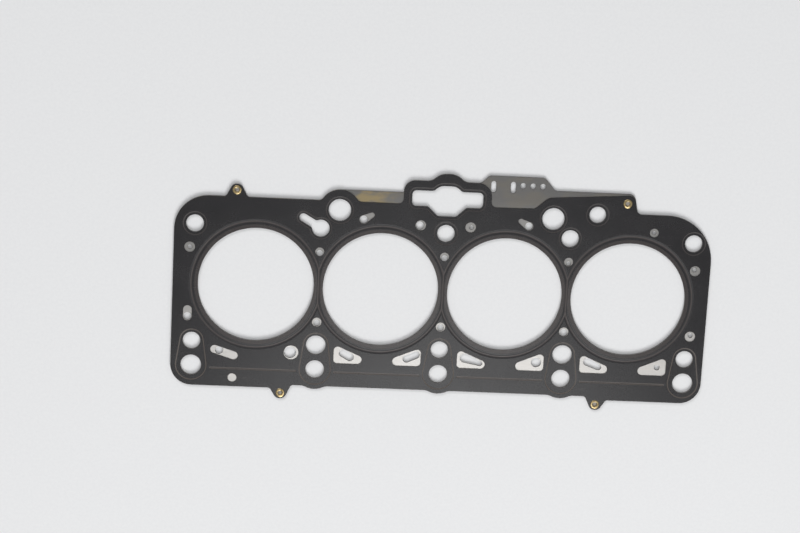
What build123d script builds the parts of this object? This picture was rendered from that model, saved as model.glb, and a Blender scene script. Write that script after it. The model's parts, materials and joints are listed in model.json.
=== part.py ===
"""Multi-layer steel cylinder head gasket for an in-line engine with four bores.

Two sheets lie on each other and four hollow rivets hold them together.  The thick one is
the bare carrier, which meters the coolant and carries the tab with the thickness code.
The thin one is coated spring steel.  A bead is pressed round every bore of it, and the
crest of the bead stands on the carrier, so the sheets lie one bead depth apart until the
cylinder head clamps them.

X runs along the row of bores and Z is the clamping direction.  The origin is the middle
of the row of bores, on the face that lies on the engine block.  Sizes are millimetres.
"""

import os
from math import sqrt

from build123d import *

os.makedirs("parts", exist_ok=True)

# Sheets
carrier_thickness = 1.4
active_thickness = 0.25

# Bores
bore_count = 4
bore_radius = 40.8
web_width = 6.4

# Bead pressed round every bore
bead_offset = 4.8
bead_width = 3.2
bead_depth = 0.2
web_land = 1.6

# Head bolts and dowels, one column at each end and one in every web
bolt_row_y = 42.4
bolt_hole_radius = 6.2
dowel_hole_radius = 7.0
keyhole_slot_reach = (-12.4, 7.2)
keyhole_slot_radius = 3.0
keyhole_corner_radius = 2.0

# Oil passages
oil_row_y = -60.2
oil_hole_radius = 6.6
end_oil_hole_radius = 7.3
oil_boss_radius = 14.5
upper_boss_corner_radius = 4.0
lower_boss_corner_radius = 8.0
drain_y = 56.0
drain_offset = 31.2
drain_radius = 7.9
feed_offset = -25.7
feed_y = 60.3
feed_radius = 5.9

# Chain opening in the middle of the upper edge, and the frame round it
chain_half_width = 25.0
chain_top_y = 72.5
chain_shoulder_y = 61.2
chain_foot_y = 54.5
chain_stem_half_width = 13.5
chain_foot_half_width = 6.5
chain_corner_radius = 3.0
crown_half_width = 5.5
crown_height = 3.8
crown_run = 4.5
crown_radius = 8.0
frame_side_width = 6.0
frame_top_width = 6.9
frame_crown_width = 8.5
frame_crown_run = 6.5
frame_crown_radius = 12.0
frame_front_radius = 8.0
frame_rear_radius = 10.0
frame_foot_radius = 3.5

# Outer edge
front_margin = 58.5
rear_margin = 57.3
upper_edge_y = 62.5
rear_upper_edge_y = 61.8
lower_edge_y = -75.0
lower_middle_y = -72.5
lower_corner_radius = 15.0
front_corner_radius = 24.0
rear_corner_radius = 33.0
drop_offset = 2.5
drop_run = 2.7
drop_top_radius = 5.0
drop_foot_radius = 4.0

# Edge of the active sheet over the rear bores, which leaves the tab and its strip bare
knee_start = (17.5, 62.8)
knee_end = (27.0, 71.0)
knee_start_radius = 5.0
knee_end_radius = 8.0
active_shoulder_y = 75.2

# Edge of the carrier: the front strip, the tab with the thickness code, the rear strip
front_strip_y = 70.5
front_strip_radius = 0.8
rear_strip_y = 76.0
tab_start = -15.5
tab_end = 23.5
tab_top_y = 85.0
tab_front_run = 5.5
tab_rear_run = 8.0
tab_radius = 4.0
code_hole_start = 8.4
code_hole_pitch = 7.0
code_hole_count = 3
code_hole_y = 78.7
code_hole_radius = 2.0
code_slot_start = -12.3
code_slot_pitch = 13.8
code_slot_count = 2
code_slot_y = 77.2
code_slot_length = 8.2
code_slot_width = 3.6

# Ears for the rivets, which flare from a narrow tip to the edge that carries them
ear_reach = 4.1
ear_tip_half_width = 2.9
ear_foot_half_width = 7.6
ear_tip_radius = 4.4
ear_foot_radius = 2.5

# Hollow rivets, given as X from the nearest bore and Y
front_upper_rivet = (-15.5, 67.4)
rear_upper_rivet = (-5.0, 69.2)
front_lower_rivet = (20.0, -78.5)
rear_lower_rivet = (-18.0, -78.3)
rivet_hole_radius = 2.1
rivet_clearance = 0.05
rivet_bore_radius = 1.5
rivet_flange_radius = 3.15
rivet_flange_taper = 0.2
rivet_flange_thickness = 0.25

# Coolant passages.  Each has a window in the active sheet and a metering hole under it in
# the carrier.  Both are one circle or the hull of two, and a circle is given as X from the
# nearest bore or column of bolts, Y and radius.
web_windows = [(0, 25.5, 3.1), (0, -25.6, 3.3)]
web_holes = [(0, 24.4, 2.25), (0, -26.2, 2.25)]
last_web_holes = [(0, 24.4, 1.5), (0, -26.2, 2.7)]
front_end_window = [(-3.2, 25.3, 3.7)]
front_end_hole = [(-3.2, 25.3, 1.5)]
front_slot_window = [(-3.5, -20.0, 3.0), (-3.5, -25.0, 3.0)]
front_slot_hole = [(-3.5, -24.8, 2.7)]
rear_upper_window = [(2.5, 22.6, 3.7)]
rear_upper_hole = [(2.1, 23.3, 1.5)]
rear_lower_window = [(2.7, -25.4, 3.7)]
rear_lower_hole = [(2.9, -24.7, 1.6)]
rear_corner_window = [(15.3, 49.0, 3.1)]
rear_corner_hole = [(15.3, 49.0, 1.3)]
chain_front_window = [(-18.0, 47.5, 3.7)]
chain_front_hole = [(-18.6, 47.4, 2.8)]
chain_rear_window = [(17.2, 47.5, 3.7)]
chain_rear_hole = [(17.8, 47.4, 1.5)]
drop_window = [(14.2, 50.0, 3.1), (8.5, 53.4, 1.8)]
drop_hole = [(14.2, 50.0, 2.7)]
front_low_window = [(-27.5, -48.2, 3.0), (-14.0, -52.4, 3.0)]
front_low_hole = [(-24.3, -48.9, 2.7)]
front_round_window = [(26.7, -48.6, 5.2)]
front_round_hole = [(25.9, -48.4, 4.2)]
relief_window = [(-14.5, -68.7, 3.1)]

# Large coolant windows, a pair below every bore but the front one, whose long edge runs
# along the bead.  Their metering holes are listed by bore, the front one of the pair first.
large_window_inner = 11.0
large_window_outer = 31.0
large_window_top_y = -42.9
large_window_bottom_y = -55.3
large_window_radius = 2.8
large_window_tip_radius = 3.2
large_window_gap = 3.0
large_window_holes = [
    [(-24.5, -47.6, 2.8), (-19.5, -50.4, 2.8)],
    [(21.0, -50.0, 2.7), (27.5, -46.9, 2.7)],
    [(-25.5, -47.7, 3.4), (-14.5, -51.4, 1.7)],
    [(25.7, -48.9, 3.5)],
    [(-25.4, -47.0, 3.0), (-17.4, -50.7, 2.1)],
    [(24.7, -49.2, 2.0)],
]

# Values that follow from the sizes above
bore_pitch = 2 * bore_radius + web_width
active_base = carrier_thickness + bead_depth
total_thickness = active_base + active_thickness
bead_radius = bore_radius + bead_offset
web_bead_half_width = web_width / 2 - web_land
web_bead_half_length = sqrt(bead_radius**2 - (bore_pitch / 2) ** 2)
large_window_clear_radius = bead_radius + bead_width / 2 + large_window_gap
bore_x = [(i - (bore_count - 1) / 2) * bore_pitch for i in range(bore_count)]
bolt_x = [bore_x[0] - bore_pitch / 2] + [x + bore_pitch / 2 for x in bore_x]
web_x = bolt_x[1:-1]
front_bore, second_bore, third_bore, rear_bore = bore_x
front_x = front_bore - front_margin
rear_x = rear_bore + rear_margin
drop_x = rear_bore + drop_offset
frame_half_width = chain_half_width + frame_side_width
frame_top_y = chain_top_y + frame_top_width
frame_crown_y = chain_top_y + crown_height + frame_crown_width
front_rivets = [(front_bore + x, y) for x, y in (front_upper_rivet, front_lower_rivet)]
rear_rivets = [(rear_bore + x, y) for x, y in (rear_upper_rivet, rear_lower_rivet)]
rivet_centres = front_rivets + rear_rivets

# Every coolant passage as its column, its window and its metering hole
coolant_passages = [
    (bolt_x[0], front_end_window, front_end_hole),
    (bolt_x[0], front_slot_window, front_slot_hole),
    (bolt_x[-1], rear_upper_window, rear_upper_hole),
    (bolt_x[-1], rear_lower_window, rear_lower_hole),
    (rear_bore, rear_corner_window, rear_corner_hole),
    (0, chain_front_window, chain_front_hole),
    (0, chain_rear_window, chain_rear_hole),
    (third_bore, drop_window, drop_hole),
    (front_bore, front_low_window, front_low_hole),
    (front_bore, front_round_window, front_round_hole),
]
for x in web_x:
    holes = last_web_holes if x == web_x[-1] else web_holes
    for window, hole in zip(web_windows, holes):
        coolant_passages.append((x, [window], [hole]))


def hull(column, circles):
    """Region of one circle, or wrapped round two, given as X from a column, Y and radius."""
    with BuildSketch() as region:
        for x, y, radius in circles:
            with Locations((column + x, y)):
                Circle(radius)
        if len(circles) > 1:
            make_hull()
    return region.sketch


def rounded(corners):
    """Region inside a closed run of corners, each given as X, Y and rounding radius."""
    with BuildSketch() as region:
        with BuildLine():
            FilletPolyline(
                [(x, y) for x, y, _ in corners],
                radius=[radius for _, _, radius in corners],
                close=True,
            )
        make_face()
    return region.sketch


def ear(rivet, side, start_y, end_y):
    """Corners of the ear round a rivet on the upper (1) or lower (-1) edge, met clockwise."""
    x, y = rivet
    tip_y = y + side * ear_reach
    return [
        (x - side * ear_foot_half_width, start_y, ear_foot_radius),
        (x - side * ear_tip_half_width, tip_y, ear_tip_radius),
        (x + side * ear_tip_half_width, tip_y, ear_tip_radius),
        (x + side * ear_foot_half_width, end_y, ear_foot_radius),
    ]


def edge(upper_middle):
    """Outer edge of a sheet; the corners between its two upper ends are given."""
    return rounded(
        ear(front_rivets[0], 1, upper_edge_y, upper_edge_y)
        + upper_middle
        + [
            (drop_x, rear_upper_edge_y, drop_foot_radius),
            (rear_x, rear_upper_edge_y, rear_corner_radius),
            (rear_x, lower_edge_y, lower_corner_radius),
        ]
        + ear(rear_rivets[1], -1, lower_edge_y, lower_middle_y)
        + ear(front_rivets[1], -1, lower_middle_y, lower_edge_y)
        + [
            (front_x, lower_edge_y, lower_corner_radius),
            (front_x, upper_edge_y, front_corner_radius),
        ]
    )


def large_window(x, side):
    """Large coolant window beside a bore at x, its long edge along the bead of that bore."""
    outer = side * (large_window_outer - large_window_radius)
    inner = side * (large_window_inner + large_window_tip_radius)
    top_y = large_window_top_y - large_window_radius
    bottom_y = large_window_bottom_y + large_window_radius
    tip_y = large_window_bottom_y + large_window_tip_radius
    corners = [
        (outer, top_y, large_window_radius),
        (outer, bottom_y, large_window_radius),
        (inner, tip_y, large_window_tip_radius),
    ]
    with BuildSketch() as region:
        add(hull(x, corners))
        with Locations((x, 0)):
            Circle(large_window_clear_radius, mode=Mode.SUBTRACT)
    return region.sketch


def on_circle(corner, centre, radius):
    """Whether a corner of a sketch lies on the circle round a centre."""
    reach = sqrt((corner.X - centre[0]) ** 2 + (corner.Y - centre[1]) ** 2)
    return abs(reach - radius) < 0.001


# Corners of the frame over the chain opening, from its front side to its rear end
frame_top = [
    (-frame_half_width, frame_top_y, frame_front_radius),
    (-crown_half_width - frame_crown_run, frame_top_y, crown_radius),
    (-crown_half_width, frame_crown_y, frame_crown_radius),
    (crown_half_width, frame_crown_y, frame_crown_radius),
    (crown_half_width + frame_crown_run, frame_top_y, crown_radius),
]

with BuildSketch() as active_edge:
    add(
        edge(
            [(-frame_half_width, upper_edge_y, frame_foot_radius)]
            + frame_top
            + [
                (frame_half_width, frame_top_y, frame_rear_radius),
                (frame_half_width, upper_edge_y, frame_foot_radius),
                (third_bore + knee_start[0], knee_start[1], knee_start_radius),
                (third_bore + knee_end[0], knee_end[1], knee_end_radius),
                (drop_x - drop_run, active_shoulder_y, drop_top_radius),
            ]
        )
    )

with BuildSketch() as carrier_edge:
    add(
        edge(
            [
                (second_bore - drain_offset, upper_edge_y, 0),
                (second_bore - drain_offset, front_strip_y, 0),
                (-frame_half_width, front_strip_y, front_strip_radius),
            ]
            + frame_top
            + [
                (third_bore + tab_start - tab_front_run, frame_top_y, tab_radius),
                (third_bore + tab_start, tab_top_y, tab_radius),
                (third_bore + tab_end, tab_top_y, tab_radius),
                (third_bore + tab_end + tab_rear_run, rear_strip_y, tab_radius),
                (drop_x - drop_run, rear_strip_y, drop_top_radius),
            ]
        )
    )


def blank(outer_edge):
    """Blank of a sheet: its edge, swollen into bosses round the oil passages."""
    upper_boss = (second_bore - drain_offset, drain_y)
    boss_feet = [(upper_boss, upper_edge_y, upper_boss_corner_radius)]
    for x in web_x:
        boss_feet.append(((x, oil_row_y), lower_middle_y, lower_boss_corner_radius))
    with BuildSketch() as region:
        add(outer_edge)
        with Locations(*[boss for boss, _, _ in boss_feet]):
            Circle(oil_boss_radius)
        for boss, y, radius in boss_feet:
            near = [v for v in region.vertices() if on_circle(v, boss, oil_boss_radius)]
            fillet([v for v in near if abs(v.Y - y) < 0.001], radius)
    return region.sketch


with BuildSketch() as chain_opening:
    rear_half = [
        (crown_half_width, chain_top_y + crown_height, crown_radius),
        (crown_half_width + crown_run, chain_top_y, chain_corner_radius),
        (chain_half_width, chain_top_y, chain_corner_radius),
        (chain_half_width, chain_shoulder_y, chain_corner_radius),
        (chain_stem_half_width, chain_shoulder_y, chain_corner_radius),
        (chain_foot_half_width, chain_foot_y, chain_corner_radius),
    ]
    add(rounded(rear_half + [(-x, y, radius) for x, y, radius in reversed(rear_half)]))

# The second bolt hole of the upper row, with a slot to one side, like a keyhole
with BuildSketch() as keyhole:
    with Locations((bolt_x[1], bolt_row_y)):
        Circle(bolt_hole_radius)
    slot_x, slot_y = keyhole_slot_reach
    slot = [(0, bolt_row_y), (slot_x, bolt_row_y + slot_y)]
    add(hull(bolt_x[1], [(x, y, keyhole_slot_radius) for x, y in slot]))
    bolt_hole = (bolt_x[1], bolt_row_y)
    on_hole = [v for v in keyhole.vertices() if on_circle(v, bolt_hole, bolt_hole_radius)]
    fillet([v for v in on_hole if v.X < bolt_x[1]], keyhole_corner_radius)

# Openings of the same size in both sheets
with BuildSketch() as shared_openings:
    with Locations(*[(x, 0) for x in bore_x]):
        Circle(bore_radius)
    with Locations(*[(x, bolt_row_y) for x in bolt_x[:1] + bolt_x[2:]]):
        Circle(bolt_hole_radius)
    add(keyhole.sketch)
    with Locations(*[(x, -bolt_row_y) for x in bolt_x[::2]]):
        Circle(bolt_hole_radius)
    with Locations(*[(x, -bolt_row_y) for x in bolt_x[1::2]]):
        Circle(dowel_hole_radius)
    with Locations(*[(x, oil_row_y) for x in web_x]):
        Circle(oil_hole_radius)
    with Locations((bolt_x[0], oil_row_y), (bolt_x[-1], oil_row_y)):
        Circle(end_oil_hole_radius)
    with Locations((second_bore - drain_offset, drain_y), (third_bore + drain_offset, drain_y)):
        Circle(drain_radius)
    with Locations((rear_bore + feed_offset, feed_y)):
        Circle(feed_radius)
    add(chain_opening.sketch)
    with Locations(*rivet_centres):
        Circle(rivet_hole_radius)

mirrored_drop_window = [(-x, y, radius) for x, y, radius in drop_window]
mirrored_drop_hole = [(-x, y, radius) for x, y, radius in drop_hole]

with BuildSketch() as windows:
    for column, window, _ in coolant_passages:
        add(hull(column, window))
    add(hull(second_bore, mirrored_drop_window))
    add(hull(front_bore, relief_window))
    for x in bore_x[1:]:
        for side in (-1, 1):
            add(large_window(x, side))

with BuildSketch() as metering_holes:
    for column, _, hole in coolant_passages:
        add(hull(column, hole))
    add(hull(second_bore, mirrored_drop_hole))
    for number, hole in enumerate(large_window_holes):
        add(hull(bore_x[1 + number // 2], hole))

with BuildSketch() as code_marks:
    for i in range(code_slot_count):
        with Locations((third_bore + code_slot_start + i * code_slot_pitch, code_slot_y)):
            SlotOverall(code_slot_length, code_slot_width, rotation=90)
    for i in range(code_hole_count):
        with Locations((third_bore + code_hole_start + i * code_hole_pitch, code_hole_y)):
            Circle(code_hole_radius)


def bead_section(centre, half_width):
    """Cross-section of a bead that hangs from Z = 0, as corners in X and Z."""
    return [(centre - half_width, 0), (centre + half_width, 0), (centre, -bead_depth)]


# Form of all the beads together, hanging from Z = 0: one ring for each bore, cut off at
# the middle of the webs, and in every web one straight run between the two crossings
with BuildPart() as ring_bead:
    with BuildSketch(Plane.XZ):
        with BuildLine():
            Polyline(bead_section(bead_radius, bead_width / 2), close=True)
        make_face()
    revolve(axis=Axis.Z)
with BuildPart() as web_bead:
    with BuildSketch(Plane.XZ):
        with BuildLine():
            Polyline(bead_section(0, web_bead_half_width), close=True)
        make_face()
    extrude(amount=web_bead_half_length, both=True)
with BuildPart() as bead_form:
    for number, x in enumerate(bore_x):
        ring = Pos(x, 0, 0) * ring_bead.part
        if number > 0:
            ring = ring.split(Plane.YZ.offset(x - bore_pitch / 2), keep=Keep.TOP)
        if number < bore_count - 1:
            ring = ring.split(Plane.YZ.offset(x + bore_pitch / 2), keep=Keep.BOTTOM)
        add(ring)
    with Locations(*[(x, 0, 0) for x in web_x]):
        add(web_bead.part)

# Carrier sheet
with BuildPart() as carrier_layer:
    with BuildSketch():
        add(blank(carrier_edge.sketch))
        add(shared_openings.sketch, mode=Mode.SUBTRACT)
        add(metering_holes.sketch, mode=Mode.SUBTRACT)
        add(code_marks.sketch, mode=Mode.SUBTRACT)
    extrude(amount=carrier_thickness)

# Active sheet: flat blank, then the beads pressed down by one bead depth
with BuildPart() as upper_active_layer:
    with BuildSketch(Plane.XY.offset(active_base)):
        add(blank(active_edge.sketch))
        add(shared_openings.sketch, mode=Mode.SUBTRACT)
        add(windows.sketch, mode=Mode.SUBTRACT)
    extrude(amount=active_thickness)
    with Locations((0, 0, active_base)):
        add(bead_form.part)
    with Locations((0, 0, total_thickness)):
        add(bead_form.part, mode=Mode.SUBTRACT)

# Hollow rivet through both sheets, with an end rolled over each of the outer faces
with BuildPart() as rivet:
    with BuildSketch(Plane.XZ):
        with BuildLine():
            shank_radius = rivet_hole_radius - rivet_clearance
            rim_radius = rivet_flange_radius - rivet_flange_taper
            top_z = total_thickness + rivet_flange_thickness
            Polyline(
                (rivet_bore_radius, -rivet_flange_thickness),
                (rim_radius, -rivet_flange_thickness),
                (rivet_flange_radius, 0),
                (shank_radius, 0),
                (shank_radius, total_thickness),
                (rivet_flange_radius, total_thickness),
                (rim_radius, top_z),
                (rivet_bore_radius, top_z),
                close=True,
            )
        make_face()
    revolve(axis=Axis.Z)

carrier_layer.part.label = "carrier_layer"
export_step(carrier_layer.part, "parts/carrier_layer.step")
upper_active_layer.part.label = "upper_active_layer"
export_step(upper_active_layer.part, "parts/upper_active_layer.step")
for number, (x, y) in enumerate(rivet_centres, start=1):
    placed_rivet = Pos(x, y, 0) * rivet.part
    placed_rivet.label = f"rivet_{number}"
    export_step(placed_rivet, f"parts/rivet_{number}.step")
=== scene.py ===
# %% [markdown]
# # Cylinder head gasket
# A head gasket of this kind is a stack of thin steel sheets. The upper and the lower sheet
# are spring steel with a black rubber coating, and a bead is pressed round every bore of
# them. Between them lies a thick bare sheet, the spacer. Four hollow brass rivets hold the
# stack together. The CAD model gives every outline and hole, so this lesson takes them from
# there and adds what makes the sheets look real: smooth beads, relief lines round the
# holes, punched edges, and the finish of each metal.

# %% Load the CAD frame
import json

import bpy
import numpy as np
from mathutils import Matrix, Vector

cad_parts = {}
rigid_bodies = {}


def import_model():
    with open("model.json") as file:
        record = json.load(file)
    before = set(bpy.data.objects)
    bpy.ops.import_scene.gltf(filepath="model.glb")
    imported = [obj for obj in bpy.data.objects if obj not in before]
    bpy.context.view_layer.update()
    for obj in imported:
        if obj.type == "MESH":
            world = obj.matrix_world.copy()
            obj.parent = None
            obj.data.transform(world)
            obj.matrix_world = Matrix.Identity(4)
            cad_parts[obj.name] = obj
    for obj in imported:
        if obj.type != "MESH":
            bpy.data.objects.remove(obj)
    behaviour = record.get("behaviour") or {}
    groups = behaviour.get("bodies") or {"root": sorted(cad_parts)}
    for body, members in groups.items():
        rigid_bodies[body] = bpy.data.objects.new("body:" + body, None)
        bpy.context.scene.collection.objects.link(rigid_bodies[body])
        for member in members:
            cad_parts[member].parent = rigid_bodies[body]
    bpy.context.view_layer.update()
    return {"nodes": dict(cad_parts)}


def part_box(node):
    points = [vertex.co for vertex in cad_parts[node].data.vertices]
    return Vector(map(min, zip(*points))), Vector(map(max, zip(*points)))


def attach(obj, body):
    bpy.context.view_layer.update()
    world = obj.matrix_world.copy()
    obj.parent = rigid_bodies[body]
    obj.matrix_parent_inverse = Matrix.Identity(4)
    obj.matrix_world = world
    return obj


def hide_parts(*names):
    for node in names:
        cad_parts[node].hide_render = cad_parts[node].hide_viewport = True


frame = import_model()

mm = 0.001
nodes = frame["nodes"]
print("CAD nodes:", sorted(nodes))

# %% [markdown]
# The main levels come from the CAD boxes. The bores stand in one row, and the bolt holes
# stand in columns between them, so two short lists place nearly everything.

# %% Levels and places
carrier_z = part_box("carrier_layer")[1].z
top_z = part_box("upper_active_layer")[1].z
active_thickness = 0.25 * mm
bead_depth = 0.2 * mm
bore_pitch = 88 * mm
bore_radius = 40.8 * mm
bore_x = [(number - 1.5) * bore_pitch for number in range(4)]
bolt_x = [(number - 2) * bore_pitch for number in range(5)]
bolt_y = 42.4 * mm
oil_y = -60.2 * mm
print("sheet tops at", round(carrier_z / mm, 3), "and", round(top_z / mm, 3), "mm")

# %% [markdown]
# Blender's operators act on what is selected, so every step starts by clearing the
# selection. Three short helpers do that: one makes a piece active, one opens its mesh, and
# one selects points, edges or faces that a test in code has found. The others read, write,
# copy and join meshes. Joining also merges the points that two pieces share.


# %% Selecting and joining
same_point = 0.004 * mm


def make_active(piece):
    if bpy.context.mode != "OBJECT":
        bpy.ops.object.mode_set(mode="OBJECT")
    bpy.ops.object.select_all(action="DESELECT")
    piece.select_set(True)
    bpy.context.view_layer.objects.active = piece


def open_mesh(piece, kind="EDGE", everything=True):
    make_active(piece)
    bpy.ops.object.mode_set(mode="EDIT")
    bpy.ops.mesh.select_mode(type=kind)
    bpy.ops.mesh.select_all(action="SELECT" if everything else "DESELECT")


def select_where(piece, kind, chosen):
    make_active(piece)
    for name in ("vertices", "edges", "polygons"):
        elements = getattr(piece.data, name)
        flags = chosen if name == kind else np.zeros(len(elements), bool)
        elements.foreach_set("select", np.asarray(flags, bool))
    modes = (kind == "vertices", kind == "edges", kind == "polygons")
    bpy.context.tool_settings.mesh_select_mode = modes
    bpy.ops.object.mode_set(mode="EDIT")


def close_mesh():
    bpy.ops.object.mode_set(mode="OBJECT")


def read_points(piece):
    points = np.zeros(len(piece.data.vertices) * 3)
    piece.data.vertices.foreach_get("co", points)
    return points.reshape(-1, 3)


def write_points(piece, points):
    piece.data.vertices.foreach_set("co", np.asarray(points).ravel())
    piece.data.update()


def set_level(wires, level):
    points = read_points(wires)
    points[:, 2] = level
    write_points(wires, points)
    return wires


def copy_piece(piece, name):
    twin = bpy.data.objects.new(name, piece.data.copy())
    bpy.context.scene.collection.objects.link(twin)
    return twin


def join_pieces(pieces, name):
    make_active(pieces[0])
    for piece in pieces[1:]:
        piece.select_set(True)
    bpy.ops.object.join()
    joined = bpy.context.active_object
    joined.name = name
    joined.data.name = name
    open_mesh(joined, "VERT")
    bpy.ops.mesh.remove_doubles(threshold=same_point)
    close_mesh()
    return joined


# %% [markdown]
# A sheet's outline and holes are punched by one tool, so they have to be the CAD's own.
# A copy of the CAD sheet is merged, everything but its flat top face is deleted, and of that
# only the border edges stay. That leaves a wire loop for the outer edge and one for every
# hole. The bores are left out here, because they get a finer circle with a bead round it.


# %% Wire loops from a CAD sheet
cad_point = 0.002 * mm
bead_offset = 4.8 * mm
bead_reach = 1.6 * mm
bead_radius = bore_radius + bead_offset
ring_radius = bead_radius + bead_reach + 0.2 * mm


def bore_distance(points):
    return np.min([np.hypot(points[:, 0] - x, points[:, 1]) for x in bore_x], axis=0)


def wires_of(node, level, name):
    wires = copy_piece(nodes[node], name)
    wires.data.materials.clear()
    open_mesh(wires, "FACE")
    bpy.ops.mesh.customdata_custom_splitnormals_clear()
    bpy.ops.mesh.remove_doubles(threshold=cad_point)
    close_mesh()
    faces = wires.data.polygons
    flat_top = [abs(f.center.z - level) < 0.001 * mm and f.normal.z > 0.99 for f in faces]
    select_where(wires, "polygons", [not kept for kept in flat_top])
    bpy.ops.mesh.delete(type="FACE")
    bpy.ops.mesh.select_mode(type="EDGE")
    bpy.ops.mesh.select_non_manifold(
        extend=False,
        use_wire=False,
        use_boundary=True,
        use_multi_face=False,
        use_non_contiguous=False,
        use_verts=False,
    )
    bpy.ops.mesh.select_all(action="INVERT")
    bpy.ops.mesh.delete(type="EDGE_FACE")
    close_mesh()
    select_where(wires, "vertices", bore_distance(read_points(wires)) < ring_radius)
    bpy.ops.mesh.delete(type="VERT")
    close_mesh()
    return wires


# %% [markdown]
# A punched edge needs a narrow border of clean faces, so that it can be rounded later. The
# border is made by moving each loop a little into the metal, filling the sheet between the
# moved loops, and extruding the border back out to the true edge at the end. To move a loop
# evenly, each point slides along the line that halves its corner.


# %% Moving loops sideways
def closed_loops(wires):
    """Lists of vertex numbers, one for every closed loop, in the order along it."""
    ahead = {}
    for edge in wires.data.edges:
        a, b = edge.vertices
        ahead.setdefault(a, []).append(b)
        ahead.setdefault(b, []).append(a)
    loops = []
    while ahead:
        start = point = next(iter(ahead))
        loop, last = [], None
        while point is not None:
            loop.append(point)
            near = ahead.pop(point)
            following = [other for other in near if other != last and other in ahead]
            last, point = point, following[0] if following else None
        loops.append(loop)
    return loops


def turned_outwards(points, loop):
    x, y = points[loop, 0], points[loop, 1]
    area = np.sum(x * np.roll(y, -1) - np.roll(x, -1) * y)
    return loop if area > 0 else loop[::-1]


def slide_directions(points, loops):
    """For every loop point, the sideways step away from the loop's inside that moves its
    two edges by 1."""
    steps = np.zeros((len(points), 2))
    for loop in loops:
        loop = turned_outwards(points, loop)
        corner = points[loop, :2]
        run = np.roll(corner, -1, 0) - corner
        run /= np.linalg.norm(run, axis=1)[:, None]
        side = np.stack([run[:, 1], -run[:, 0]], 1)
        both = side + np.roll(side, 1, 0)
        steps[loop] = both * (2 / np.sum(both * both, axis=1))[:, None]
    return steps


def slide_wires(wires, distance):
    """Moves every loop into the metal: holes grow and the outer edge shrinks."""
    points = read_points(wires)
    loops = closed_loops(wires)
    steps = slide_directions(points, loops)
    outer = max(loops, key=lambda loop: np.ptp(points[loop, 0]))
    if np.ptp(points[outer, 0]) > 2 * bore_pitch:
        steps[outer] *= -1
    points[:, :2] += steps * distance
    write_points(wires, points)
    return wires


border = 0.12 * mm
active_wires = slide_wires(wires_of("upper_active_layer", top_z, "active wires"), border)
print("active sheet: wire points", len(active_wires.data.vertices))

# %% [markdown]
# The bead round a bore is a groove pressed into the sheet. A flat ring with fine rows is made
# first: a circle is extruded and scaled outwards, row by row. Rings of neighbouring bores
# would overlap in the web, so each is cut off by a bisect at the middle of the web, where the
# halves merge. The groove then takes one move: the points on its deepest line go down, and
# proportional editing rounds the slope on both sides. That also runs the two rings into one
# line in the web, as the press tool does.

# %% Rings with a pressed bead
ring_points = 192
bead_rows = 6
edge_row = 0.7 * mm
on_line_width = 0.01 * mm
row_step = bead_reach / bead_rows
first_fine_row = bore_radius + bead_reach
fine_rows = round((ring_radius - first_fine_row) / row_step)
ring_rows = [bore_radius + border + edge_row]
ring_rows += [first_fine_row + number * row_step for number in range(fine_rows)]
ring_rows += [ring_radius]
crossing_y = np.sqrt(bead_radius**2 - (bore_pitch / 2) ** 2)


def bore_circle(x, level, radius=bore_radius + border):
    bpy.ops.object.select_all(action="DESELECT")
    bpy.ops.mesh.primitive_circle_add(
        vertices=ring_points, radius=radius, fill_type="NOTHING", location=(x, 0, level)
    )
    bpy.ops.object.transform_apply(location=True, rotation=True, scale=True)
    return bpy.context.active_object


def flat_ring(x, level):
    ring = bore_circle(x, level)
    open_mesh(ring)
    radius = bore_radius + border
    for row in ring_rows:
        bpy.ops.mesh.extrude_edges_move()
        factor = row / radius
        bpy.ops.transform.resize(value=(factor, factor, 1), center_override=(x, 0, level))
        radius = row
    for side in (-1, 1):
        web = x + side * bore_pitch / 2
        if abs(web) < bolt_x[-1] - bore_pitch / 2:
            bpy.ops.mesh.select_all(action="SELECT")
            bpy.ops.mesh.bisect(
                plane_co=(web, 0, 0),
                plane_no=(side, 0, 0),
                clear_outer=True,
                threshold=0.001 * mm,
            )
    close_mesh()
    return ring


def beaded_rings(level, depth, name):
    rings = join_pieces([flat_ring(x, level) for x in bore_x], name)
    points = read_points(rings)
    on_ring = abs(bore_distance(points) - bead_radius) < on_line_width
    web_distance = np.min([abs(points[:, 0] - x) for x in bolt_x[1:-1]], axis=0)
    in_web = (web_distance < on_line_width) & (abs(points[:, 1]) <= crossing_y)
    select_where(rings, "vertices", on_ring | in_web)
    bpy.ops.transform.translate(
        value=(0, 0, -depth),
        use_proportional_edit=True,
        proportional_edit_falloff="SMOOTH",
        proportional_size=bead_reach,
    )
    close_mesh()
    return rings


def border_wires(piece, wanted, name):
    """A wire copy of the border edges of a piece whose points are wanted."""
    make_active(piece)
    before = set(bpy.data.objects)
    open_mesh(piece, "EDGE", False)
    bpy.ops.mesh.select_non_manifold(
        extend=False,
        use_wire=False,
        use_boundary=True,
        use_multi_face=False,
        use_non_contiguous=False,
        use_verts=False,
    )
    close_mesh()
    chosen = [e.select and wanted[list(e.vertices)].all() for e in piece.data.edges]
    select_where(piece, "edges", chosen)
    bpy.ops.mesh.duplicate()
    bpy.ops.mesh.separate(type="SELECTED")
    close_mesh()
    wires = (set(bpy.data.objects) - before).pop()
    wires.name = name
    return wires


active_rings = beaded_rings(top_z, bead_depth, "active rings")
ring_outside = bore_distance(read_points(active_rings)) > ring_radius - on_line_width
ring_wires = border_wires(active_rings, ring_outside, "ring wires")
print("rings:", len(active_rings.data.polygons), "faces")

# %% [markdown]
# Bolt holes, oil passages and the chain opening have a half bead round them: a low step that
# brings the edge of the hole down onto the sheet below. Round a single hole the step is a
# circle. Where a bolt hole has an oil passage under it, one step runs round both, along the
# outline of two circles with straight runs between them. Each curve starts as a circle
# primitive whose points are moved onto that outline. Round the chain opening and the bolt
# hole that has a slot beside it, the step follows the opening's own shape, so there the
# curve is a copy of the opening's edge, moved into the metal.

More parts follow.
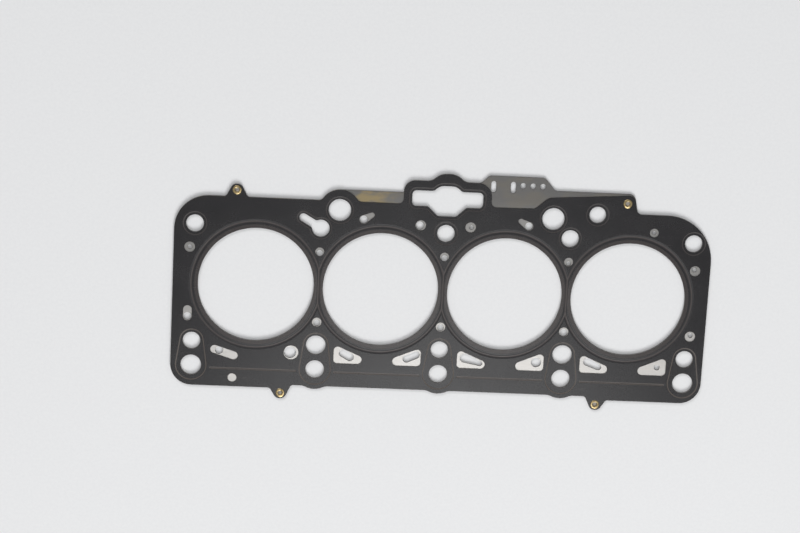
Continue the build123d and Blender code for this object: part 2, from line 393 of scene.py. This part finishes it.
# %% Curves of the half beads
step_depth = 0.12 * mm
step_width = 1.0 * mm
chain_step = 1.3 * mm
keyhole_step = 0.9 * mm
low_z = top_z - step_depth
curve_points = 64


def wrapped_outline(circles, count=curve_points):
    """Points on the outline wrapped round circles, each given as X, Y and radius."""
    angles = np.linspace(0, 2 * np.pi, count, endpoint=False)
    towards = np.stack([np.cos(angles), np.sin(angles)], 1)
    reach = [towards @ np.array(circle[:2]) + circle[2] for circle in circles]
    nearest = np.argmax(reach, axis=0)
    middle = np.array([circles[number][:2] for number in nearest])
    radius = np.array([circles[number][2] for number in nearest])
    return middle + towards * radius[:, None]


def curve_round(*circles):
    bpy.ops.object.select_all(action="DESELECT")
    bpy.ops.mesh.primitive_circle_add(vertices=curve_points, fill_type="NOTHING")
    curve = bpy.context.active_object
    write_points(curve, np.column_stack([wrapped_outline(circles), np.full(curve_points, low_z)]))
    return curve


bolt_step = 7.7 * mm
slim_bolt_step = 7.3 * mm
dowel_step = 8.3 * mm
oil_step = 10.6 * mm
end_oil_step = 10.3 * mm
drain_x, drain_y, drain_step = 75.2 * mm, 56 * mm, 9 * mm
feed = (106.3 * mm, 60.3 * mm, 7.4 * mm)
keyhole_middle = (-92.6 * mm, 44.4 * mm)
chain_middle = (0, 65.4 * mm)
upper_steps = (bolt_step, slim_bolt_step, bolt_step)
round_curves = [(bolt_x[0], bolt_y, bolt_step)]
round_curves += [(x, bolt_y, step) for x, step in zip(bolt_x[2:], upper_steps)]
round_curves += [(-drain_x, drain_y, drain_step), (drain_x, drain_y, drain_step), feed]
pair_steps = [(bolt_step, end_oil_step), (dowel_step, oil_step), (bolt_step, oil_step)]
pair_steps += pair_steps[1::-1]
pair_curves = [
    [(x, -bolt_y, upper), (x, oil_y, lower)] for x, (upper, lower) in zip(bolt_x, pair_steps)
]
step_curves = [curve_round(circle) for circle in round_curves]
step_curves += [curve_round(*circles) for circles in pair_curves]
relieved_places = [circle[:2] for circle in round_curves]
relieved_places += [circle[:2] for circles in pair_curves for circle in circles]
relieved_places += [keyhole_middle, chain_middle]


def loop_middles(wires):
    points = read_points(wires)
    loops = closed_loops(wires)
    boxes = [(points[loop].min(0) + points[loop].max(0))[:2] / 2 for loop in loops]
    return loops, np.array(boxes)


def part_loops(wires, places, name):
    """Splits the loops whose middles lie at the places off into a piece of their own."""
    near = 1.5 * mm
    loops, middles = loop_middles(wires)
    chosen = np.zeros(len(wires.data.vertices), bool)
    found = 0
    for loop, middle in zip(loops, middles):
        if min(np.hypot(*(middle - place)) for place in places) < near:
            chosen[loop] = True
            found += 1
    before = set(bpy.data.objects)
    select_where(wires, "vertices", chosen)
    bpy.ops.mesh.separate(type="SELECTED")
    close_mesh()
    parted = (set(bpy.data.objects) - before).pop()
    parted.name = name
    print(name, "holds", found, "loops")
    return parted


low_wires = part_loops(active_wires, relieved_places, "low wires")
set_level(low_wires, low_z)
spare = copy_piece(low_wires, "spare wires")
for middle, step in ((chain_middle, chain_step), (keyhole_middle, keyhole_step)):
    curve = part_loops(spare, [middle], "opening curve")
    step_curves.append(slide_wires(curve, step - border))
bpy.data.objects.remove(spare)
step_wires = join_pieces(step_curves, "step wires")

# %% [markdown]
# Along the lower edge a narrow, shallow groove runs from each pair of holes to the next and
# stiffens the sheet there. Its floor is a long slot, which is the outline round two very
# small circles, so the same curve serves.

# %% Curves of the stiffening grooves
groove_depth = 0.08 * mm
groove_slope = 0.6 * mm
groove_gap = 14 * mm
groove_y = -61.9 * mm
groove_half_floor = 0.15 * mm
groove_curves = []
for left, right in zip(bolt_x, bolt_x[1:]):
    ends = (left + groove_gap, right - groove_gap)
    groove_curves.append(curve_round(*[(x, groove_y, groove_half_floor) for x in ends]))
groove_wires = join_pieces(groove_curves, "groove wires")
set_level(groove_wires, top_z - groove_depth)
print("grooves:", len(groove_curves))

# %% [markdown]
# The step itself is a strip of faces. Each curve is extruded five times, and every new row
# is slid a fifth of the width outwards and lifted along a soft S, so that both ends of the
# slope run flat into the sheet. The slopes of the grooves are made in the same way.


# %% Slopes of the half beads
slope_shares = (0.2, 0.4, 0.6, 0.8, 1)


def grow_strip(wires, rows):
    """Extrudes wire loops into a strip; a row is its step sideways and its step up."""
    start = read_points(wires)
    loops = closed_loops(wires)
    steps = slide_directions(start, loops)
    for sideways, up in rows:
        count = len(wires.data.vertices)
        last = np.arange(count) >= count - len(start)
        select_where(wires, "vertices", last)
        bpy.ops.mesh.extrude_edges_move()
        close_mesh()
        points = read_points(wires)
        row = start.copy()
        row[:, :2] += steps * sideways
        row[:, 2] += up
        points[count:] = row
        write_points(wires, points)
    return wires


def soft_slope(wires, width, rise):
    """A strip of faces up from the wires, and wires along its upper edge."""
    rows = [(share * width, (3 - 2 * share) * share**2 * rise) for share in slope_shares]
    top_wires = slide_wires(copy_piece(wires, "slope top wires"), width)
    return grow_strip(copy_piece(wires, "slopes"), rows), set_level(top_wires, top_z)


slopes, slope_top_wires = soft_slope(step_wires, step_width, step_depth)
groove_slopes, groove_top_wires = soft_slope(groove_wires, groove_slope, groove_depth)
print("slopes:", len(slopes.data.polygons) + len(groove_slopes.data.polygons), "faces")

# %% [markdown]
# Now the flat metal is filled in: once at the level of the sheet, once at the lower level
# inside the half beads. Blender's Fill closes the space between selected loops and leaves
# the holes open. The pieces are joined, their doubles merge, and the narrow border is
# extruded back out to the punched edge.


# %% Filling the flat metal
def fill_between(wires, name):
    flat = join_pieces([copy_piece(piece, name) for piece in wires], name)
    open_mesh(flat, "EDGE")
    bpy.ops.mesh.fill(use_beauty=True)
    close_mesh()
    return flat


def face_up(sheet):
    select_where(sheet, "polygons", [f.normal.z < 0 for f in sheet.data.polygons])
    bpy.ops.mesh.flip_normals()
    close_mesh()


def punch_out(sheet):
    """Extrudes the narrow border of every hole and of the outer edge."""
    count = len(sheet.data.vertices)
    wires = border_wires(sheet, np.ones(count, bool), "edge wires")
    points = read_points(wires)
    loops = closed_loops(wires)
    steps = slide_directions(points, loops)
    outer = max(loops, key=lambda loop: np.ptp(points[loop, 0]))
    steps[outer] *= -1
    moved = points.copy()
    moved[:, :2] -= steps * border
    select_where(wires, "vertices", np.ones(len(points), bool))
    bpy.ops.mesh.extrude_edges_move()
    close_mesh()
    write_points(wires, np.concatenate([points, moved]))
    return join_pieces([sheet, wires], sheet.name)


field = fill_between([active_wires, ring_wires, slope_top_wires, groove_top_wires], "field")
low_flats = fill_between([low_wires, step_wires], "low flats")
groove_floors = fill_between([groove_wires], "groove floors")
print("field:", len(field.data.polygons), "faces; low flats:", len(low_flats.data.polygons))
parts = [field, low_flats, groove_floors, slopes, groove_slopes, active_rings]
upper_sheet = join_pieces(parts, "upper_active_sheet")
upper_sheet = punch_out(upper_sheet)
face_up(upper_sheet)
print("upper sheet:", len(upper_sheet.data.polygons), "faces")

# %% [markdown]
# A sheet gets its thickness from a Solidify modifier and its slightly rounded edges from a
# narrow Bevel that only takes the sharp corners. The faces that Solidify adds round the
# holes take the second material slot, because a punch shears through the coating there.
# The Weighted Normal modifier then lets the wide flat faces set the shading at their
# corners, so that the flat metal looks flat right up to a bead or a step.


# %% Thickness and rounded edges
def add_modifier(piece, kind, **settings):
    make_active(piece)
    bpy.ops.object.modifier_add(type=kind)
    modifier = piece.modifiers[-1]
    for name, value in settings.items():
        setattr(modifier, name, value)
    bpy.ops.object.modifier_apply(modifier=modifier.name)


sharp_corner = np.radians(60)
soft_corner = np.radians(35)
thin_rounding = 0.04 * mm
thick_rounding = 0.08 * mm


def thicken(sheet, thickness, rounding):
    sheet.data.materials.clear()
    sheet.data.materials.append(None)
    sheet.data.materials.append(None)
    add_modifier(
        sheet,
        "SOLIDIFY",
        thickness=thickness,
        offset=-1,
        use_even_offset=True,
        use_quality_normals=True,
        material_offset_rim=1,
    )
    add_modifier(
        sheet,
        "BEVEL",
        width=rounding,
        segments=2,
        limit_method="ANGLE",
        angle_limit=sharp_corner,
        use_clamp_overlap=False,
    )
    make_active(sheet)
    bpy.ops.object.shade_smooth_by_angle(angle=soft_corner)
    add_modifier(sheet, "WEIGHTED_NORMAL", mode="FACE_AREA", keep_sharp=True)
    points = read_points(sheet) / mm
    corners = points.min(0).round(3), points.max(0).round(3)
    print(sheet.name, len(sheet.data.polygons), "faces", *corners)


thicken(upper_sheet, active_thickness, thin_rounding)

# %% [markdown]
# The spacer and the lower active sheet share the outline of the CAD carrier. The spacer is
# flat. The lower sheet faces the engine block, so its beads are pressed the other way, up
# against the spacer, and show as grooves from below. A fine gap is left between the sheets,
# as in a stack that no bolt has clamped yet.

# %% Spacer and lower active sheet
spacer_bottom_z = active_thickness + bead_depth


def carrier_wires(level, name):
    wires = wires_of("carrier_layer", carrier_z, name)
    return slide_wires(set_level(wires, level), border)


spacer_wires = [bore_circle(x, carrier_z) for x in bore_x]
spacer_wires.append(carrier_wires(carrier_z, "spacer wires"))
spacer = punch_out(fill_between(spacer_wires, "spacer_sheet"))
face_up(spacer)
thicken(spacer, carrier_z - spacer_bottom_z, thick_rounding)

lower_rings = beaded_rings(active_thickness, -bead_depth, "lower rings")
lower_outside = bore_distance(read_points(lower_rings)) > ring_radius - on_line_width
lower_ring_wires = border_wires(lower_rings, lower_outside, "lower ring wires")
lower_wires = carrier_wires(active_thickness, "lower wires")
lower_field = fill_between([lower_wires, lower_ring_wires], "lower field")
lower_sheet = punch_out(join_pieces([lower_field, lower_rings], "lower_active_sheet"))
face_up(lower_sheet)
thicken(lower_sheet, active_thickness, thin_rounding)

# %% [markdown]
# The hollow rivets are brass tubes whose ends were rolled outwards in a press. The section
# of the tube wall, with a rounded lip at both ends, is laid out once beside the axis and
# spun round it. The other three are copies, each with a mesh of its own.

# %% Rivets
rivet_spin_steps = 72
lip_smoothing = np.radians(50)
bore_wall = 1.5
shank_wall = 2.05
lip_edge = 3.15
sheet_top = top_z / mm
lip_height = 0.25
lip_section = [
    (bore_wall, sheet_top - 0.45),
    (bore_wall + 0.02, sheet_top - 0.1),
    (bore_wall + 0.1, sheet_top + 0.07),
    (bore_wall + 0.23, sheet_top + 0.18),
    (bore_wall + 0.42, sheet_top + 0.24),
    (bore_wall + 0.62, sheet_top + lip_height),
    (bore_wall + 0.9, sheet_top + 0.235),
    (lip_edge - 0.38, sheet_top + 0.185),
    (lip_edge - 0.14, sheet_top + 0.12),
    (lip_edge - 0.02, sheet_top + 0.05),
    (lip_edge - 0.05, sheet_top + 0.005),
    (shank_wall + 0.1, sheet_top + 0.002),
    (shank_wall, sheet_top - 0.06),
]
foot_section = [(radius, sheet_top - height) for radius, height in reversed(lip_section)]


def centre_of(node):
    low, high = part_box(node)
    return (low.x + high.x) / 2, (low.y + high.y) / 2


def spun_rivet(node, name):
    x, y = centre_of(node)
    section = lip_section + foot_section
    bpy.ops.object.select_all(action="DESELECT")
    bpy.ops.mesh.primitive_circle_add(vertices=len(section), fill_type="NOTHING")
    rivet = bpy.context.active_object
    rivet.name = rivet.data.name = name
    write_points(rivet, [(x + r * mm, y, z * mm) for r, z in section])
    open_mesh(rivet)
    bpy.ops.mesh.spin(
        steps=rivet_spin_steps, angle=2 * np.pi, center=(x, y, 0), axis=(0, 0, 1)
    )
    bpy.ops.mesh.select_all(action="SELECT")
    bpy.ops.mesh.remove_doubles(threshold=cad_point)
    bpy.ops.mesh.normals_make_consistent(inside=False)
    close_mesh()
    bpy.ops.object.shade_smooth_by_angle(angle=lip_smoothing)
    return rivet


rivet_names = ["front_upper", "front_lower", "rear_upper", "rear_lower"]
first_rivet = spun_rivet("rivet_1", "rivet_front_upper")
rivets = [first_rivet]
for number, place in enumerate(rivet_names[1:], start=2):
    twin = copy_piece(first_rivet, "rivet_" + place)
    shift = np.subtract(centre_of(f"rivet_{number}"), centre_of("rivet_1"))
    write_points(twin, read_points(twin) + [shift[0], shift[1], 0])
    rivets.append(twin)
print("rivets:", [rivet.name for rivet in rivets])

# %% [markdown]
# A finish is worked out with sums on shader values. The small class below wraps a socket,
# so that plus, minus, times and power add their Math nodes, and so do its least and most.


# %% Shader sums
class Shade:
    def __init__(self, finish, socket):
        self.finish = finish
        self.socket = socket

    def maths(self, operation, first, second):
        node = self.finish.node(
            "ShaderNodeMath", {"operation": operation}, {0: first, 1: second}
        )
        return Shade(self.finish, node.outputs[0])

    def __add__(self, other):
        return self.maths("ADD", self, other)

    def __sub__(self, other):
        return self.maths("SUBTRACT", self, other)

    def __rsub__(self, other):
        return self.maths("SUBTRACT", other, self)

    def __mul__(self, other):
        return self.maths("MULTIPLY", self, other)

    def __pow__(self, other):
        return self.maths("POWER", self, other)

    def __abs__(self):
        return self.maths("ABSOLUTE", self, 0)

    def least(self, other):
        return self.maths("MINIMUM", self, other)

    def most(self, other):
        return self.maths("MAXIMUM", self, other)

    __radd__ = __add__
    __rmul__ = __mul__


# %% [markdown]
# The next class holds one material and has one method that adds any node from its type,
# its settings and its inputs. Its other methods are short names for what recurs: noise, a
# smooth switch between two values, a mix of two colours, bump, and the axes of a point.


# %% A material and its nodes
class Finish:
    def __init__(self, name):
        self.material = bpy.data.materials.new(name)
        self.material.use_nodes = True
        self.tree = self.material.node_tree
        self.surface = self.tree.nodes["Principled BSDF"]
        self.place = self.node("ShaderNodeTexCoord").outputs["Object"]

    def node(self, kind, settings=None, inputs=None):
        node = self.tree.nodes.new(kind)
        for name, value in (settings or {}).items():
            setattr(node, name, value)
        for name, value in (inputs or {}).items():
            self.feed(node.inputs[name], value)
        return node

    def feed(self, socket, value):
        if isinstance(value, Shade):
            value = value.socket
        if isinstance(value, bpy.types.NodeSocket):
            self.tree.links.new(value, socket)
        else:
            socket.default_value = value

    def noise(self, scale, detail=3, roughness=0.5, stretch=(1, 1, 1)):
        """Noise between 0 and 1; scale is the size of a patch in metres."""
        place = self.node(
            "ShaderNodeMapping",
            {},
            {"Vector": self.place, "Scale": tuple(s / scale for s in stretch)},
        )
        noise = self.node(
            "ShaderNodeTexNoise",
            {},
            {
                "Vector": place.outputs[0],
                "Scale": 1,
                "Detail": detail,
                "Roughness": roughness,
            },
        )
        return Shade(self, noise.outputs["Fac"])

    def between(self, value, low, high):
        """0 below low, 1 above high, and a smooth rise in between."""
        node = self.node(
            "ShaderNodeMapRange",
            {"interpolation_type": "SMOOTHSTEP"},
            {"Value": value, "From Min": low, "From Max": high},
        )
        return Shade(self, node.outputs["Result"])

    def mix(self, share, first, second):
        node = self.node(
            "ShaderNodeMix", {"data_type": "RGBA"}, {"Factor": share, 6: first, 7: second}
        )
        return node.outputs[2]

    def bump(self, height, strength, distance):
        node = self.node(
            "ShaderNodeBump",
            {},
            {"Strength": strength, "Distance": distance, "Height": height},
        )
        self.feed(self.surface.inputs["Normal"], node.outputs["Normal"])

    def normal_height(self):
        """Z of the surface's own normal: 1 on a flat top, -1 on a flat underside."""
        normal = self.node("ShaderNodeTexCoord").outputs["Normal"]
        parts = self.node("ShaderNodeSeparateXYZ", {}, {"Vector": normal})
        return Shade(self, parts.outputs["Z"])

    def axes(self):
        parts = self.node("ShaderNodeSeparateXYZ", {}, {"Vector": self.place})
        return [Shade(self, output) for output in parts.outputs]


# %% [markdown]
# A shader takes linear colours. It is easier to choose a tone by the values that a screen
# shows, from 0 to 255, so a small function turns those into linear ones.


# %% Colours
def from_screen(red, green, blue):
    """Linear colour from the 0 to 255 values that a screen shows."""
    shares = [value / 255 for value in (red, green, blue)]
    linear = [s / 12.92 if s <= 0.04045 else ((s + 0.055) / 1.055) ** 2.4 for s in shares]
    return (*linear, 1)


# %% [markdown]
# The coating is a thin film of black rubber, neither matt nor glossy. It has a fine grain,
# and it is a little browner where the tool has stretched it: on the rim of every bore and
# along the floor of the beads. The steps of the half beads are painted browner and paler
# too, partly as wear and partly as a painted highlight on their slopes, and this painted
# highlight is palest along the lower edge, where it is painted sheen. It is also duller
# wherever the sheet slopes, and the Z of the surface's own normal tells where that is. How
# far a point is from the nearest bore follows from its X and Y. The bores mirror each
# other, so sums with the absolute X need two of the four.

# %% Rubber coating
coating = Finish("rubber coating")
x, y, z = coating.axes()
across = abs(abs(x) - bore_x[2]).least(abs(abs(x) - bore_x[3]))
bore_reach = (across**2 + y * y) ** 0.5
rim_end = bore_radius + 2.1 * mm
on_rim = 1 - coating.between(bore_reach, rim_end, rim_end + 1 * mm)
off_web = abs(x).least(abs(abs(x) - bolt_x[3])).most(abs(y) - crossing_y)
off_line = abs(bore_reach - bead_radius).least(off_web)
on_line = 1 - coating.between(off_line, 0.1 * mm, 0.8 * mm)
grain = coating.noise(0.6 * mm, detail=4)
patches = coating.noise(24 * mm, detail=3)
scuffs = coating.noise(3 * mm, detail=5, roughness=0.65, stretch=(0.12, 1, 1))
tilt = 1 - abs(coating.normal_height())
on_slope = coating.between(tilt, 0.0005, 0.012)
past_ring = coating.between(bore_reach, ring_radius, ring_radius + 0.3 * mm)
# Painted highlight: the colour on the steps is partly wear and partly a highlight painted on
# their slopes.
on_step = coating.between(tilt, 0.001, 0.006) * past_ring
black = coating.mix(patches, from_screen(24, 23, 25), from_screen(33, 31, 33))
# Painted sheen: the steps are painted paler towards the lower edge.
lower = 1 - coating.between(y, -40 * mm, -10 * mm)
brown = coating.mix(on_step * lower, from_screen(72, 65, 63), from_screen(94, 85, 78))
wear_and_highlight = (on_rim * 0.5).most(on_line * 0.9).most(on_step * (0.5 + 0.3 * lower))
worn_and_highlighted = coating.mix(wear_and_highlight, black, brown)
scuffed_and_highlighted = coating.mix(coating.between(scuffs, 0.6, 0.8) * 0.2, worn_and_highlighted, from_screen(78, 73, 71))
coating.feed(coating.surface.inputs["Base Color"], scuffed_and_highlighted)
dullness = 0.19 + 0.1 * patches + 0.05 * grain + 0.35 * on_slope
coating.feed(coating.surface.inputs["Roughness"], dullness)
coating.surface.inputs["Specular IOR Level"].default_value = 0.5
coating.bump(grain, 0.25, 0.02 * mm)

# %% [markdown]
# The spacer is bare cold-rolled steel. Rolling leaves fine streaks along the strip, so the
# noise is stretched far along X, and the roughness follows the streaks. The windows are
# painted darker from the lower row to the upper one; this is painted shade, because the
# lower windows catch more reflection of the lamps. A thin film of oil dulls the tab and the
# strips outside the coated sheet still more, where a few patches have a golden tint.
# A punched edge is the same metal, torn across the thickness, so its streaks run up and
# down.


# %% Bare steel and cut edges
def rolled_steel(name, pale, dark, streak, base_roughness):
    steel = Finish(name)
    streaks = steel.noise(0.9 * mm, detail=4, roughness=0.6, stretch=streak)
    clouds = steel.noise(30 * mm, detail=2)
    share = streaks * 0.6 + clouds * 0.4
    steel.feed(steel.surface.inputs["Base Color"], steel.mix(share, dark, pale))
    steel.feed(steel.surface.inputs["Roughness"], base_roughness + 0.16 * streaks)
    steel.surface.inputs["Metallic"].default_value = 1
    steel.bump(streaks, 0.3, 0.01 * mm)
    return steel


along = (0.03, 1, 1)
upright = (1, 1, 0.08)
bright_steel = from_screen(205, 202, 198)
grey_steel = from_screen(175, 173, 170)
bare_steel = rolled_steel("rolled bare steel", bright_steel, grey_steel, along, 0.3)
x, y, z = bare_steel.axes()
outside = bare_steel.between(y, 56 * mm, 58 * mm)
oil = bare_steel.noise(9 * mm, detail=3, stretch=(0.5, 1, 1))
on_front = 1 - bare_steel.between(x, -45 * mm, -30 * mm)
gold = bare_steel.between(oil, 0.42, 0.62) * outside * (0.12 + 0.88 * on_front)
far = bare_steel.between(y, 58 * mm, 70 * mm)
clean = bare_steel.surface.inputs["Base Color"].links[0].from_socket
# Painted shade: the windows are painted darker from the lower row up to the upper one.
window_painted_shade = bare_steel.between(y, -45 * mm, 0) * 0.58
oil_and_painted_shade = window_painted_shade.most(outside * (0.82 + 0.08 * far))
oiled_and_shaded = bare_steel.mix(oil_and_painted_shade, clean, from_screen(100, 99, 98))
tinted = bare_steel.mix(gold * 0.6, oiled_and_shaded, from_screen(168, 148, 100))
bare_steel.feed(bare_steel.surface.inputs["Base Color"], tinted)
torn, torn_dark = from_screen(140, 136, 132), from_screen(84, 81, 80)
cut_edge = rolled_steel("punched edge", torn, torn_dark, upright, 0.38)

# %% [markdown]
# The rivets are plain brass with a thin, uneven tarnish.

# %% Brass
brass = Finish("rivet brass")
tarnish = brass.noise(1.6 * mm, detail=4)
fresh, tarnished = from_screen(188, 169, 126), from_screen(134, 114, 80)
brass_colour = brass.mix(brass.between(tarnish, 0.35, 0.75), fresh, tarnished)
brass.feed(brass.surface.inputs["Base Color"], brass_colour)
brass.feed(brass.surface.inputs["Roughness"], 0.22 + 0.2 * tarnish)
brass.surface.inputs["Metallic"].default_value = 1
brass.bump(tarnish, 0.2, 0.02 * mm)

# %% [markdown]
# A sheet has two slots: the first is for its faces and the second for its punched edges.

# %% Finishes on the pieces
for sheet, face in ((upper_sheet, coating), (lower_sheet, coating), (spacer, bare_steel)):
    sheet.data.materials[0] = face.material
    sheet.data.materials[1] = cut_edge.material
for rivet in rivets:
    rivet.data.materials.append(brass.material)

# %% [markdown]
# The pieces ride on the one body of the part and stand for its CAD solids, which are hidden.

# %% Tie the pieces to the frame
stands_for = [
    (upper_sheet, "upper_active_layer", "coated_steel"),
    (spacer, "carrier_layer", "bare_steel"),
    (lower_sheet, "carrier_layer", "coated_steel"),
]
stands_for += [(rivet, f"rivet_{n}", "brass") for n, rivet in enumerate(rivets, start=1)]
for piece, node, slot in stands_for:
    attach(piece, "root")
    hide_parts(node)
kept = {piece for piece, _, _ in stands_for} | set(nodes.values())
for piece in [o for o in bpy.data.objects if o.type == "MESH" and o not in kept]:
    bpy.data.objects.remove(piece)

# %% [markdown]
# The part lies on a pale floor, on the lower lips of its rivets.

# %% Floor
floor_z = min(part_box(f"rivet_{number}")[0].z for number in range(1, 5))
bpy.ops.object.select_all(action="DESELECT")
bpy.ops.mesh.primitive_grid_add(x_subdivisions=8, y_subdivisions=8, size=8)
floor = bpy.context.active_object
floor.name = "floor"
write_points(floor, read_points(floor) + [0, 0, floor_z])
paper = Finish("pale floor")
fibres = paper.noise(2 * mm, detail=3)
paper.feed(
    paper.surface.inputs["Base Color"],
    paper.mix(fibres, from_screen(230, 230, 231), from_screen(238, 238, 238)),
)
paper.surface.inputs["Roughness"].default_value = 0.9
floor.data.materials.append(paper.material)

# %% [markdown]
# A big soft lamp stands towards the lower edge of the sheet and another beyond the upper
# edge. Both stand too low to mirror in the flat sheet. A small, weak panel in front hangs
# higher and just beside the mirror direction, so that it catches the slopes of the beads.
# The world fills the rest evenly.


# %% Lamps
def soft_lamp(name, place, size, power):
    lamp = bpy.data.lights.new(name, "AREA")
    lamp.shape = "DISK"
    lamp.size = size
    lamp.energy = power
    holder = bpy.data.objects.new(name, lamp)
    bpy.context.scene.collection.objects.link(holder)
    holder.location = place
    holder.rotation_euler = (-holder.location).to_track_quat("-Z", "Y").to_euler()


soft_lamp("key lamp", (0.65, -3, 2.4), 1.9, 84)
soft_lamp("front panel", (0.1, -0.68, 1.45), 0.64, 3.4)
soft_lamp("back lamp", (-1.2, 2.9, 3.2), 2.4, 62)
world = bpy.data.worlds.new("studio")
world.use_nodes = True
background = world.node_tree.nodes["Background"]
background.inputs["Color"].default_value = (0.96, 0.98, 1, 1)
background.inputs["Strength"].default_value = 0.32
bpy.context.scene.world = world

# %% [markdown]
# The camera looks down on the sheet from beyond its upper edge, a little tilted and turned.
# Its turn is given by three directions: its right, its top and its back. Its place is
# counted from the upper face of the sheet.

# %% Camera
right = (0.99788, 0.05123, 0.04002)
above = (-0.04103, 0.97381, -0.22363)
back = (-0.05042, 0.22151, 0.97385)
stand = (-0.1075, 0.35298, 1.4756 + top_z)
camera_data = bpy.data.cameras.new("camera")
camera_data.sensor_width = 36
camera_data.lens = 96.68
camera_data.clip_start = 0.01
camera = bpy.data.objects.new("camera", camera_data)
bpy.context.scene.collection.objects.link(camera)
turn = Matrix([right, above, back]).transposed().to_4x4()
camera.matrix_world = Matrix.Translation(stand) @ turn
bpy.context.scene.camera = camera
bpy.context.scene.view_settings.view_transform = "Standard"
